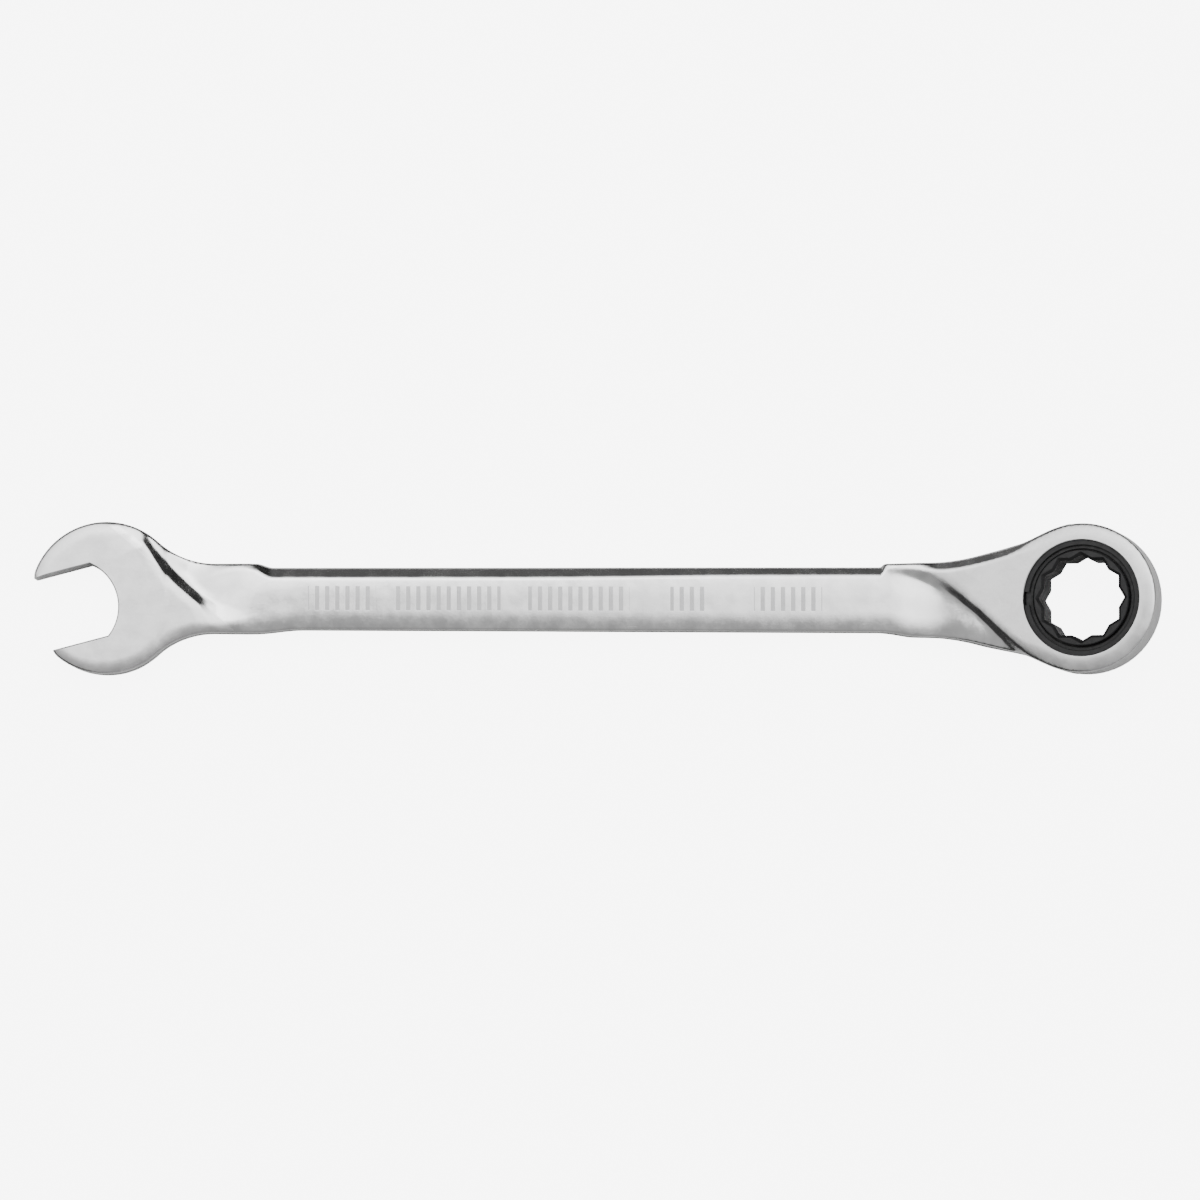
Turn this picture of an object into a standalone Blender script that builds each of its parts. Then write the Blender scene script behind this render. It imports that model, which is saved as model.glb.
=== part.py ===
"""Ratcheting combination wrench: an open jaw at one end and a ratcheting box ring at the other.

Metres, +X from the open jaw to the box ring, +Z out of the front face. The origin is the middle of
the bounding box on the plane that the wrench lies on.
"""

import math

import bmesh
import bpy
from mathutils import Matrix

MM = 0.001

# Hexagon size across flats, with the play that a socket and a jaw need
HEX = 19.0 * MM
PLAY = 0.1 * MM

# Beam
BEAM_BACK = 0.75 * MM
BEAM_FRONT = 8.75 * MM
BEAM_HALF_JAW = 9.0 * MM
BEAM_HALF_GRIP = 8.1 * MM
BEAM_HALF_BOX = 9.3 * MM
GRIP_START_X = -84.4 * MM
GRIP_END_X = 72.4 * MM
GRIP_LEAD_IN = 2.6 * MM
GRIP_LEAD_OUT = 1.6 * MM
EDGE_STEEP = (2.0 * MM, 1.7 * MM)
EDGE_SOFT = (3.4 * MM, 1.3 * MM)

# Open jaw
JAW_X = -126.3 * MM
JAW_R = 19.6 * MM
JAW_THICK = 9.5 * MM
JAW_ANGLE = math.radians(195)
JAW_TIP_REACH = 16.9 * MM
THROAT_R = 12.0 * MM
THROAT_FORWARD = 9.2 * MM
NECK_FILLET_R = 22.0 * MM
DISH_DEPTH = 1.5 * MM
DISH_START_X = -85.0 * MM
DISH_END_X = -110.0 * MM
JAW_BURIED_X = -120.0 * MM
JAW_BURIED_INSET = 2.0 * MM
JAW_NECK_START_X = JAW_BURIED_X + 2.0 * MM

# Swept line on the jaw's front face: control points of its curve, in millimetres, from the top edge down
JAW_SWEEP_POINTS = [(-118.4, 17.4), (-112.5, 4.5), (-104.0, 0.5), (-88.0, -9.4)]

# Box ring, in its own frame: U along the neck to the tip, V = +Y, W out of the front face
TILT = math.radians(15)
RING_X = 124.75 * MM
RING_Z = 11.03 * MM
RING_R = 19.1 * MM
RING_HALF = 6.3 * MM
NECK_START_U = -19.1 * MM
NECK_START_HALF = 13.3 * MM
NECK_TANGENT_U = -4.6 * MM
NECK_TANGENT_HALF = 17.6 * MM
FLARE_X = 92.8 * MM
FLARE_HALF = 10.1 * MM

# Raised front of the box end's neck: its rise, and the swept line where the beam's face ends below it
SWEEP_START_X = 80.0 * MM
NECK_RISE_START_X = 81.0 * MM
NECK_BASE_DEPTH = 2.0 * MM
SWEEP_END_X = 108.0 * MM
SWEEP_TOP_Y = 7.6 * MM
SWEEP_FALL = 15.5 * MM
SWEEP_EXTRA_FALL = 6.5 * MM
NECK_UNDER_RING = 0.05 * MM
NECK_INSET = 0.3 * MM
NECK_CHAMFER = 1.2 * MM
BOX_STEP = 1.3 * MM
BOX_STEP_START_X = 75.0 * MM
BOX_STEP_LENGTH = 17.0 * MM
NECK_END_X = 112.0 * MM

# Stepped bore of the ring
LIP_HOLE_R = 12.6 * MM
LIP_TOP_W = -4.8 * MM
CHAMBER_R = 14.0 * MM
SHELF_W = 3.4 * MM
FACE_HOLE_R = 14.85 * MM
GROOVE_R = 15.6 * MM
GROOVE_LOW_W = 4.5 * MM
GROOVE_HIGH_W = 5.5 * MM

# Ratchet gear
TEETH = 72
TOOTH_TIP_R = 13.65 * MM
TOOTH_ROOT_R = 13.05 * MM
TEETH_LOW_W = -4.5 * MM
TEETH_HIGH_W = 3.1 * MM
COLLAR_R = 12.3 * MM
COLLAR_HALF = 6.1 * MM
LEAD_IN = 0.8 * MM
LEAD_IN_SCALE = 1.1
SEAL_GROOVE_R = 11.6 * MM
SEAL_W = -5.5 * MM
SEAL_GROOVE_HALF = 0.4 * MM
SEAL_R = 11.98 * MM
SEAL_WIRE_R = 0.28 * MM

# Cover plate and retaining ring
COVER_INNER_R = 12.6 * MM
COVER_OUTER_R = 14.55 * MM
COVER_LOW_W = 3.55 * MM
COVER_HIGH_W = 4.35 * MM
CLIP_INNER_R = 13.5 * MM
CLIP_OUTER_R = 15.35 * MM
CLIP_LOW_W = 4.65 * MM
CLIP_HIGH_W = 5.35 * MM
CLIP_GAP = math.radians(14)

# Pawl, its pocket, spring and pin
MESH_GAP = 0.15 * MM
PAWL_HALF = 4.0 * MM
PAWL_REAR_U = -17.9 * MM
PAWL_LOW_W = -3.2 * MM
PAWL_HIGH_W = 2.8 * MM
PAWL_MID_W = (PAWL_LOW_W + PAWL_HIGH_W) / 2
POCKET_GAP = 0.3 * MM
POCKET_REAR_U = -19.2 * MM
SPRING_HOLE_R = 1.55 * MM
SPRING_HOLE_FRONT_U = -16.2 * MM
SPRING_HOLE_REAR_U = -22.4 * MM
SPRING_R = 1.05 * MM
SPRING_WIRE_R = 0.2 * MM
SPRING_COILS = 6
SPRING_SEAT_GAP = 0.15 * MM
PIN_R = 0.55 * MM
PIN_HOLE_R = 0.85 * MM
PIN_FRONT_U = -18.7 * MM
PIN_REAR_U = -24.1 * MM
PIN_HOLE_REAR_U = -24.4 * MM

ROUND = 96
OVERLAP = 0.4 * MM
BEYOND = 3.0 * MM

HEAD = Matrix.Translation((RING_X, 0, RING_Z)) @ Matrix.Rotation(-TILT, 4, "Y")


def clear_scene():
    for obj in list(bpy.data.objects):
        bpy.data.objects.remove(obj, do_unlink=True)


def material(name, colour, roughness, metallic):
    made = bpy.data.materials.new(name)
    made.use_nodes = True
    shader = made.node_tree.nodes["Principled BSDF"]
    shader.inputs["Base Color"].default_value = (*colour, 1)
    shader.inputs["Roughness"].default_value = roughness
    shader.inputs["Metallic"].default_value = metallic
    return made


def add_object(name, shape, finish=None, place=None, sharp_angle=35):
    """A mesh object made from a bmesh, smooth across edges flatter than sharp_angle."""
    bmesh.ops.recalc_face_normals(shape, faces=shape.faces)
    mesh = bpy.data.meshes.new(name)
    shape.to_mesh(mesh)
    shape.free()
    mesh.shade_smooth()
    mesh.set_sharp_from_angle(angle=math.radians(sharp_angle))
    obj = bpy.data.objects.new(name, mesh)
    bpy.context.scene.collection.objects.link(obj)
    if finish:
        mesh.materials.append(finish)
    if place:
        obj.matrix_world = place
    return obj


def prism(outline, low, high):
    """A closed prism: the outline's (x, y) points extruded from z = low to z = high."""
    shape = bmesh.new()
    base = shape.faces.new([shape.verts.new((x, y, low)) for x, y in outline])
    raised = bmesh.ops.extrude_face_region(shape, geom=[base])
    top = [item for item in raised["geom"] if isinstance(item, bmesh.types.BMVert)]
    bmesh.ops.translate(shape, verts=top, vec=(0, 0, high - low))
    return shape


def loft(sections):
    """A closed solid through rings of points, one ring per section, with flat ends."""
    shape = bmesh.new()
    rings = [[shape.verts.new(point) for point in section] for section in sections]
    for ring, after in zip(rings, rings[1:]):
        for i in range(len(ring)):
            j = (i + 1) % len(ring)
            shape.faces.new((ring[i], ring[j], after[j], after[i]))
    shape.faces.new(rings[0][::-1])
    shape.faces.new(rings[-1])
    return shape


def circle(radius, height, steps=ROUND):
    """Points of a circle about +Z."""
    turns = [2 * math.pi * i / steps for i in range(steps)]
    return [(radius * math.cos(t), radius * math.sin(t), height) for t in turns]


def turned(profile):
    """A solid turned about +Z, from (radius, height) points that run from its bottom to its top."""
    return loft([circle(radius, height) for radius, height in profile])


def turned_ring(profile, start=0.0, end=2 * math.pi, steps=ROUND):
    """A ring turned about +Z from a closed profile of (radius, height) points, whole or split."""
    whole = end - start > 1.999 * math.pi
    turns = [start + (end - start) * i / steps for i in range(steps if whole else steps + 1)]
    shape = bmesh.new()
    loops = []
    for t in turns:
        loops.append([shape.verts.new((r * math.cos(t), r * math.sin(t), h)) for r, h in profile])
    for loop, after in zip(loops, loops[1:] + (loops[:1] if whole else [])):
        for i in range(len(loop)):
            j = (i + 1) % len(loop)
            shape.faces.new((loop[i], loop[j], after[j], after[i]))
    if not whole:
        shape.faces.new(loops[0][::-1])
        shape.faces.new(loops[-1])
    return shape


def stations(start, end, steps):
    """Evenly spaced places from start to end, both included."""
    return [start + (end - start) * i / steps for i in range(steps + 1)]


def arc(centre, radius, start, end, steps):
    """Points on an arc, both ends included."""
    turns = stations(start, end, steps)
    return [(centre[0] + radius * math.cos(t), centre[1] + radius * math.sin(t)) for t in turns]


def combine(target, tool, operation):
    """Adds a Boolean of the tool, which becomes a hidden helper."""
    tool.hide_render = True
    tool.display_type = "WIRE"
    modifier = target.modifiers.new(tool.name, "BOOLEAN")
    modifier.operation = operation
    modifier.solver = "EXACT"
    modifier.object = tool


def smooth_step(t):
    t = min(max(t, 0.0), 1.0)
    return t * t * (3 - 2 * t)


def beam_face(x):
    """Height of the beam's front face, dished where it meets the open jaw."""
    return BEAM_FRONT - DISH_DEPTH * smooth_step((DISH_START_X - x) / (DISH_START_X - DISH_END_X))


def neck_rise(x):
    """Rise of the box neck's front: it leaves the beam's face level and meets the ring's tilted face."""
    ring_left_x = RING_X - RING_R * math.cos(TILT) - RING_HALF * math.sin(TILT)
    run = ring_left_x - SWEEP_START_X
    along = min(max(x - SWEEP_START_X, 0), run)
    return math.tan(TILT) * (along**2 / (2 * run) + max(x - ring_left_x, 0))


def fillet_centre():
    """Centre of the fillet between the jaw's circle and the beam's edge."""
    centre_y = BEAM_HALF_JAW + NECK_FILLET_R
    return JAW_X + math.sqrt((JAW_R + NECK_FILLET_R) ** 2 - centre_y**2), centre_y


def jaw_neck_half(x):
    """Half-width of the jaw's neck: a fillet between the jaw's circle and the beam's edge."""
    centre_x, centre_y = fillet_centre()
    tangent_x = JAW_X + (centre_x - JAW_X) * JAW_R / (JAW_R + NECK_FILLET_R)
    if x > centre_x:
        return BEAM_HALF_JAW
    if x < tangent_x:
        return math.sqrt(JAW_R**2 - (x - JAW_X) ** 2)
    return centre_y - math.sqrt(NECK_FILLET_R**2 - (x - centre_x) ** 2)


def box_neck_half(x):
    """Half-width of the box end's neck, which flares from the beam to the ring."""
    flare_end_x = RING_X + NECK_TANGENT_U * math.cos(TILT)
    if x < FLARE_X:
        t = (x - GRIP_END_X) / (FLARE_X - GRIP_END_X)
        return BEAM_HALF_BOX + (FLARE_HALF - BEAM_HALF_BOX) * t**2
    t = (x - FLARE_X) / (flare_end_x - FLARE_X)
    return FLARE_HALF + (NECK_TANGENT_HALF - FLARE_HALF) * t


def beam_section(x, half):
    """Section of the beam: half a turn about its length maps it onto itself, except at the box neck."""
    step = BOX_STEP * smooth_step((x - BOX_STEP_START_X) / BOX_STEP_LENGTH)
    front = beam_face(x) + neck_rise(x) - step
    back = BEAM_FRONT + BEAM_BACK - beam_face(x)
    (steep_w, steep_h), (soft_w, soft_h) = EDGE_STEEP, EDGE_SOFT
    return [
        (x, half, front - steep_h),
        (x, half - steep_w, front),
        (x, -half + soft_w, front),
        (x, -half, front - soft_h),
        (x, -half, back + steep_h),
        (x, -half + steep_w, back),
        (x, half - soft_w, back),
        (x, half, back + soft_h),
    ]


def beam_shape():
    sections = [beam_section(JAW_BURIED_X, jaw_neck_half(JAW_BURIED_X) - JAW_BURIED_INSET)]
    for x in stations(JAW_NECK_START_X, GRIP_START_X - GRIP_LEAD_IN, 10):
        sections.append(beam_section(x, jaw_neck_half(x)))
    for x in (GRIP_START_X, GRIP_END_X):
        sections.append(beam_section(x, BEAM_HALF_GRIP))
    for x in stations(GRIP_END_X + GRIP_LEAD_OUT, NECK_END_X, 8):
        sections.append(beam_section(x, box_neck_half(x)))
    return loft(sections)


def jaw_sweep_line():
    """The swept line where the jaw's face steps down to the beam, from the top edge to the bottom."""
    points = []
    for t in stations(0, 1, 10):
        weights = ((1 - t) ** 3, 3 * t * (1 - t) ** 2, 3 * t * t * (1 - t), t**3)
        x = sum(w * point[0] for w, point in zip(weights, JAW_SWEEP_POINTS))
        y = sum(w * point[1] for w, point in zip(weights, JAW_SWEEP_POINTS))
        points.append((x * MM, y * MM))
    return points


def jaw_plate(low, high, mirror):
    """One half of the jaw's thickness, bounded by the sweep line; the back's line is mirrored."""
    line = jaw_sweep_line()
    top_turn = math.atan2(line[0][1], line[0][0] - JAW_X)
    centre_x, centre_y = fillet_centre()
    fillet_turn = math.atan2(centre_y, centre_x - JAW_X)
    around = arc((JAW_X, 0), JAW_R, top_turn, 2 * math.pi - fillet_turn, 56)
    fillet_start_x = JAW_X + JAW_R * math.cos(fillet_turn)
    foot = [(x, -jaw_neck_half(x)) for x in stations(fillet_start_x, centre_x, 6)]
    outline = line[:1] + around[1:] + foot[1:-1] + line[:0:-1]
    side = -1 if mirror else 1
    return prism([(x, side * y) for x, y in outline], low, high)


def jaw_point(along, across):
    """A point given along the jaw's opening direction and across it, from the jaw's centre."""
    return (
        JAW_X + along * math.cos(JAW_ANGLE) + across * math.sin(JAW_ANGLE),
        along * math.sin(JAW_ANGLE) - across * math.cos(JAW_ANGLE),
    )


def jaw_slot():
    """Cutter for the open jaw: two parallel gripping faces and a round throat."""
    half = (HEX + PLAY) / 2
    reach = JAW_R + BEYOND
    half_turn = math.asin(half / THROAT_R)
    throat = arc((THROAT_FORWARD, 0), THROAT_R, math.pi - half_turn, math.pi + half_turn, 16)
    outline = [(reach, half)] + throat + [(reach, -half)]
    return prism([jaw_point(a, c) for a, c in outline], -BEYOND, JAW_THICK + BEYOND)


def jaw_tip_cut():
    """Cutter that blunts both jaw tips square to the opening."""
    far = JAW_R + BEYOND
    outline = [(JAW_TIP_REACH, -far), (far, -far), (far, far), (JAW_TIP_REACH, far)]
    return prism([jaw_point(a, c) for a, c in outline], -BEYOND, JAW_THICK + BEYOND)


def box_sweep_y(x):
    """The swept line where the beam's face ends under the box end, from the top edge to the bottom."""
    t = (x - SWEEP_START_X) / (SWEEP_END_X - SWEEP_START_X)
    return SWEEP_TOP_Y - SWEEP_FALL * t - SWEEP_EXTRA_FALL * t**2


def box_sweep_shape():
    """The raised front of the box end's neck, from the sweep line to the upper edge."""
    sections = []
    base = BEAM_FRONT - NECK_BASE_DEPTH
    for x in stations(NECK_RISE_START_X, NECK_END_X, 8):
        top = box_neck_half(x) - NECK_INSET
        low = max(box_sweep_y(x), -top)
        height = BEAM_FRONT + neck_rise(x) - NECK_UNDER_RING
        upper_edge = [(top, base), (top, height - NECK_CHAMFER), (top - NECK_CHAMFER, height)]
        sections.append([(x, y, z) for y, z in upper_edge + [(low, height), (low, base)]])
    return loft(sections)


def ring_plate():
    """Ring and neck plate in the ring's own frame."""
    tangent_turn = math.atan2(NECK_TANGENT_HALF, NECK_TANGENT_U)
    around = arc((0, 0), RING_R, -tangent_turn, tangent_turn, 72)
    outline = around + [(NECK_START_U, NECK_START_HALF), (NECK_START_U, -NECK_START_HALF)]
    return prism(outline, -RING_HALF, RING_HALF)


def stepped_bore():
    """Cutter for the ring's bore: back lip, gear chamber, cover recess and retaining groove."""
    return turned(
        [
            (LIP_HOLE_R, -RING_HALF - BEYOND),
            (LIP_HOLE_R, LIP_TOP_W),
            (CHAMBER_R, LIP_TOP_W),
            (CHAMBER_R, SHELF_W),
            (FACE_HOLE_R, SHELF_W),
            (FACE_HOLE_R, GROOVE_LOW_W),
            (GROOVE_R, GROOVE_LOW_W),
            (GROOVE_R, GROOVE_HIGH_W),
            (FACE_HOLE_R, GROOVE_HIGH_W),
            (FACE_HOLE_R, RING_HALF + BEYOND),
        ]
    )


def rod_along_neck(radius, start_u, end_u, steps=24):
    """A cylinder on the pawl's line of travel, in the ring's frame."""
    shape = prism(arc((0, 0), radius, 0, 2 * math.pi, steps)[:-1], start_u, end_u)
    bmesh.ops.rotate(shape, verts=shape.verts, matrix=Matrix.Rotation(math.pi / 2, 3, "Y"))
    bmesh.ops.translate(shape, verts=shape.verts, vec=(0, 0, PAWL_MID_W))
    return shape


def box_shape(low, high):
    outline = [(low[0], low[1]), (high[0], low[1]), (high[0], high[1]), (low[0], high[1])]
    return prism(outline, low[2], high[2])


def make_body(finish):
    """The one-piece forging: beam, open jaw, neck and ring, with the ratchet's chamber cut out."""
    body = add_object("wrench_body", beam_shape(), finish)
    middle = JAW_THICK / 2
    combine(body, add_object("jaw_front", jaw_plate(middle - OVERLAP, JAW_THICK, False)), "UNION")
    combine(body, add_object("jaw_back", jaw_plate(0, middle + OVERLAP, True)), "UNION")
    combine(body, add_object("neck_front", box_sweep_shape()), "UNION")
    combine(body, add_object("ring_plate", ring_plate(), place=HEAD), "UNION")
    combine(body, add_object("jaw_slot", jaw_slot()), "DIFFERENCE")
    combine(body, add_object("jaw_tips", jaw_tip_cut()), "DIFFERENCE")
    combine(body, add_object("stepped_bore", stepped_bore(), place=HEAD), "DIFFERENCE")
    half = PAWL_HALF + POCKET_GAP
    low = (POCKET_REAR_U, -half, PAWL_LOW_W - POCKET_GAP)
    high = (-LIP_HOLE_R, half, PAWL_HIGH_W + POCKET_GAP)
    combine(body, add_object("pawl_pocket", box_shape(low, high), place=HEAD), "DIFFERENCE")
    spring_hole = rod_along_neck(SPRING_HOLE_R, SPRING_HOLE_REAR_U, POCKET_REAR_U + OVERLAP)
    combine(body, add_object("spring_hole", spring_hole, place=HEAD), "DIFFERENCE")
    pin_hole = rod_along_neck(PIN_HOLE_R, PIN_HOLE_REAR_U, SPRING_HOLE_REAR_U + OVERLAP)
    combine(body, add_object("pin_hole", pin_hole, place=HEAD), "DIFFERENCE")
    return body


def twelve_point(scale, height):
    """Outline of the socket: two hexagons, one turned by 30 degrees."""
    inner = (HEX + PLAY) / 2 / math.cos(math.radians(15))
    outer = (HEX + PLAY) / math.sqrt(3)
    points = []
    for i in range(24):
        radius = (outer if i % 2 == 0 else inner) * scale
        turn = math.radians(15) * i
        points.append((radius * math.cos(turn), radius * math.sin(turn), height))
    return points


def tooth_radius(turn):
    """Radius of the gear's V-shaped teeth at an angle, with a tooth tip at angle 0."""
    pitch = 2 * math.pi / TEETH
    off_tip = abs((turn / pitch + 0.5) % 1 - 0.5) * 2
    return TOOTH_TIP_R + (TOOTH_ROOT_R - TOOTH_TIP_R) * off_tip


def make_gear(finish):
    """Toothed ring with a collar above and below, and the twelve-point socket through it."""
    collar = turned(
        [
            (COLLAR_R, -COLLAR_HALF),
            (COLLAR_R, SEAL_W - SEAL_GROOVE_HALF),
            (SEAL_GROOVE_R, SEAL_W - SEAL_GROOVE_HALF),
            (SEAL_GROOVE_R, SEAL_W + SEAL_GROOVE_HALF),
            (COLLAR_R, SEAL_W + SEAL_GROOVE_HALF),
            (COLLAR_R, COLLAR_HALF),
        ]
    )
    gear = add_object("ratchet_gear", collar, finish, HEAD)
    outline = []
    for i in range(2 * TEETH):
        turn = math.pi * i / TEETH
        radius = tooth_radius(turn)
        outline.append((radius * math.cos(turn), radius * math.sin(turn)))
    teeth = prism(outline, TEETH_LOW_W, TEETH_HIGH_W)
    combine(gear, add_object("gear_teeth", teeth, place=HEAD), "UNION")
    levels = [
        (LEAD_IN_SCALE, -COLLAR_HALF - LEAD_IN),
        (1.0, -COLLAR_HALF + LEAD_IN),
        (1.0, COLLAR_HALF - LEAD_IN),
        (LEAD_IN_SCALE, COLLAR_HALF + LEAD_IN),
    ]
    socket = loft([twelve_point(scale, height) for scale, height in levels])
    combine(gear, add_object("gear_socket", socket, place=HEAD), "DIFFERENCE")
    return gear


def make_pawl(finish):
    """Sliding pawl whose curved front carries teeth that fit the gear's."""
    half_turns = round(2 * TEETH * math.asin(PAWL_HALF / TOOTH_TIP_R) / (2 * math.pi))
    front = []
    for i in range(-half_turns + 1, half_turns):
        turn = math.pi + math.pi * i / TEETH
        radius = tooth_radius(turn) + MESH_GAP
        front.append((radius * math.cos(turn), radius * math.sin(turn)))
    front_edge_u = front[0][0]
    outline = [(front_edge_u, PAWL_HALF)] + front + [(front_edge_u, -PAWL_HALF)]
    outline += [(PAWL_REAR_U, -PAWL_HALF), (PAWL_REAR_U, PAWL_HALF)]
    pawl = add_object("pawl", prism(outline, PAWL_LOW_W, PAWL_HIGH_W), finish, HEAD)
    hole = rod_along_neck(SPRING_HOLE_R, PAWL_REAR_U - BEYOND, SPRING_HOLE_FRONT_U)
    combine(pawl, add_object("pawl_hole", hole, place=HEAD), "DIFFERENCE")
    return pawl


def make_spring(finish):
    """Compression spring between the pawl and the bottom of its hole in the neck."""
    steps_per_coil = 14
    sides = 6
    seat_gap = SPRING_WIRE_R + SPRING_SEAT_GAP
    start_u = SPRING_HOLE_REAR_U + seat_gap
    length = SPRING_HOLE_FRONT_U - seat_gap - start_u
    count = SPRING_COILS * steps_per_coil
    sections = []
    for i in range(count + 1):
        turn = 2 * math.pi * i / steps_per_coil
        section = []
        for k in range(sides):
            around = 2 * math.pi * k / sides
            radius = SPRING_R + SPRING_WIRE_R * math.cos(around)
            u = start_u + length * i / count + SPRING_WIRE_R * math.sin(around)
            section.append((u, radius * math.cos(turn), PAWL_MID_W + radius * math.sin(turn)))
        sections.append(section)
    return add_object("pawl_spring", loft(sections), finish, HEAD)


def make_ring_parts(black, rubber, pin_steel):
    """Cover plate, split retaining ring, seal ring and the spring's guide pin."""
    cover = [
        (COVER_INNER_R, COVER_LOW_W),
        (COVER_OUTER_R, COVER_LOW_W),
        (COVER_OUTER_R, COVER_HIGH_W),
        (COVER_INNER_R, COVER_HIGH_W),
    ]
    add_object("cover_plate", turned_ring(cover), black, HEAD)
    clip = [
        (CLIP_INNER_R, CLIP_LOW_W),
        (CLIP_OUTER_R, CLIP_LOW_W),
        (CLIP_OUTER_R, CLIP_HIGH_W),
        (CLIP_INNER_R, CLIP_HIGH_W),
    ]
    start = math.pi + CLIP_GAP / 2
    split = turned_ring(clip, start, start + 2 * math.pi - CLIP_GAP)
    add_object("retaining_ring", split, black, HEAD)
    wire = arc((SEAL_R, SEAL_W), SEAL_WIRE_R, 0, 2 * math.pi, 8)[:-1]
    add_object("seal_ring", turned_ring(wire), rubber, HEAD)
    pin = rod_along_neck(PIN_R, PIN_REAR_U, PIN_FRONT_U, 16)
    add_object("spring_guide_pin", pin, pin_steel, HEAD)


def main():
    clear_scene()
    chrome = material("satin_chrome", (0.72, 0.72, 0.73), 0.28, 1.0)
    black = material("black_oxide_steel", (0.03, 0.03, 0.032), 0.4, 0.9)
    tool_steel = material("pawl_steel", (0.2, 0.2, 0.21), 0.4, 1.0)
    spring_steel = material("spring_steel", (0.5, 0.5, 0.5), 0.3, 1.0)
    rubber = material("seal_rubber", (0.02, 0.02, 0.02), 0.7, 0.0)
    make_body(chrome)
    make_gear(black)
    make_pawl(tool_steel)
    make_spring(spring_steel)
    make_ring_parts(black, rubber, spring_steel)


main()
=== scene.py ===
"""Looks of the 19 mm ratcheting combination wrench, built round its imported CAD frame."""

import math

import bmesh
import bpy
import numpy as np
from mathutils import Matrix, Quaternion, Vector


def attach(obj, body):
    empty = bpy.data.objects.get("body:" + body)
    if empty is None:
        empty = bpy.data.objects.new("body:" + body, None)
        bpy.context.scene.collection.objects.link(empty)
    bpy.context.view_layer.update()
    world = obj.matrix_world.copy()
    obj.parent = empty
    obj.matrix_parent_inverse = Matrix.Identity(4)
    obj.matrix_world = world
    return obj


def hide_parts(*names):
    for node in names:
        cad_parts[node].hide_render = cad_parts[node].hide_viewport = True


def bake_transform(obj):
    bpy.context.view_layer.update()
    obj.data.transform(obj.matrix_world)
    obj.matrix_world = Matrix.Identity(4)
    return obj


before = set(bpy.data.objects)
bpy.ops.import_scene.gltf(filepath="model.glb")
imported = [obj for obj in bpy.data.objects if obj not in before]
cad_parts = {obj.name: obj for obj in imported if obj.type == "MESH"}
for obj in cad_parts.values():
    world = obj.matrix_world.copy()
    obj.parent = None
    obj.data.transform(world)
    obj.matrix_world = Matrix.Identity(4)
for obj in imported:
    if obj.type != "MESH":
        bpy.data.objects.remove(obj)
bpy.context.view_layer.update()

MM = 0.001

# The design's driving dimensions, in millimetres. The jaw is at -X and the ring at +X. Names that end in _U
# and _W are in the ring's own frame: U runs along the pawl's travel and W along the ring's axis.
HEX = 19.1
BEAM_BACK, BEAM_FRONT = 0.75, 8.75
BEAM_HALF_JAW = 9.0
GRIP_HALF_LEFT, GRIP_HALF_RIGHT = 8.0, 8.4
GRIP_START_X, GRIP_END_X = -84.4, 72.4
BEAM_HALF_BOX = 9.2
FLARE_X, FLARE_HALF, FLARE_SLOPE = 92.8, 10.1, 0.25
JAW_X, JAW_R, JAW_THICK = -126.3, 19.6, 9.5
JAW_ANGLE = math.radians(195)
JAW_TIP_REACH = 16.9
THROAT_R, THROAT_FORWARD = 12.0, 9.2
NECK_FILLET_R = 22.0
DISH_DEPTH, DISH_START_X, DISH_END_X = 1.5, -85.0, -110.0
DISH_SHALLOW, DISH_SHALLOW_START_Y, DISH_SHALLOW_LENGTH = 1.1, 5.0, 9.0
BEAM_CROWN, CROWN_HALF, CROWN_LIMIT, CROWN_END_X = 0.3, 6.5, 1.6, 96.0
BOX_STEP, BOX_STEP_START_X, BOX_STEP_LENGTH = 1.3, 75.0, 15.0
SWEEP_COS, SWEEP_SIN = 0.77, 0.64
JAW_SWEEP_X, JAW_SWEEP_Y, JAW_SHOULDER_SHARE = -109.0, 5.0, 0.52
BOX_SWEEP_X, BOX_SWEEP_Y, BOX_SHOULDER_SHARE = 95.0, -1.2, 0.4
SHOULDER_SPREAD = 5.8
TILT = math.radians(15)
RING_X, RING_Z, RING_R, RING_HALF = 124.75, 11.03, 19.1, 6.3
RISE_START_X = 80.0
LIP_HOLE_R, CHAMBER_R, FACE_HOLE_R, GROOVE_R = 12.6, 14.0, 14.85, 15.6
LIP_TOP_W, SHELF_W, GROOVE_LOW_W, GROOVE_HIGH_W = -4.8, 3.4, 4.5, 5.5
POCKET_REAR_U, POCKET_HALF, POCKET_LOW_W, POCKET_HIGH_W = -19.2, 4.3, -3.5, 3.1
TRAVEL_W = -0.2
SPRING_HOLE_R, SPRING_HOLE_REAR_U = 1.55, -22.4
SPRING_START_U, SPRING_END_U, SPRING_R, SPRING_WIRE_R, SPRING_COILS = -22.05, -16.55, 1.05, 0.2, 6
EDGE_FLARE, BORE_FLARE, BEYOND, OVERLAP = 0.35, 0.3, 2.0, 0.4
PIN_HOLE_R, PIN_HOLE_REAR_U = 0.85, -24.4

SIN, COS, TAN = math.sin(TILT), math.cos(TILT), math.tan(TILT)
HEAD = Matrix.Translation((RING_X, 0, RING_Z)) @ Matrix.Rotation(-TILT, 4, "Y")
TO_METRES = Matrix.Scale(MM, 4)


# ---------------------------------------------------------------- the forged body as a field


def smooth_step(t):
    t = np.clip(t, 0, 1)
    return t * t * (3 - 2 * t)


def mix(a, b, t):
    return a + (b - a) * t


def soft_max(a, b, width):
    """The larger of two fields, with the edge between them rounded over about width."""
    h = np.clip(0.5 + 0.5 * (a - b) / width, 0, 1)
    return mix(b, a, h) + width * h * (1 - h)


def soft_min(a, b, width):
    return -soft_max(-a, -b, width)


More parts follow.
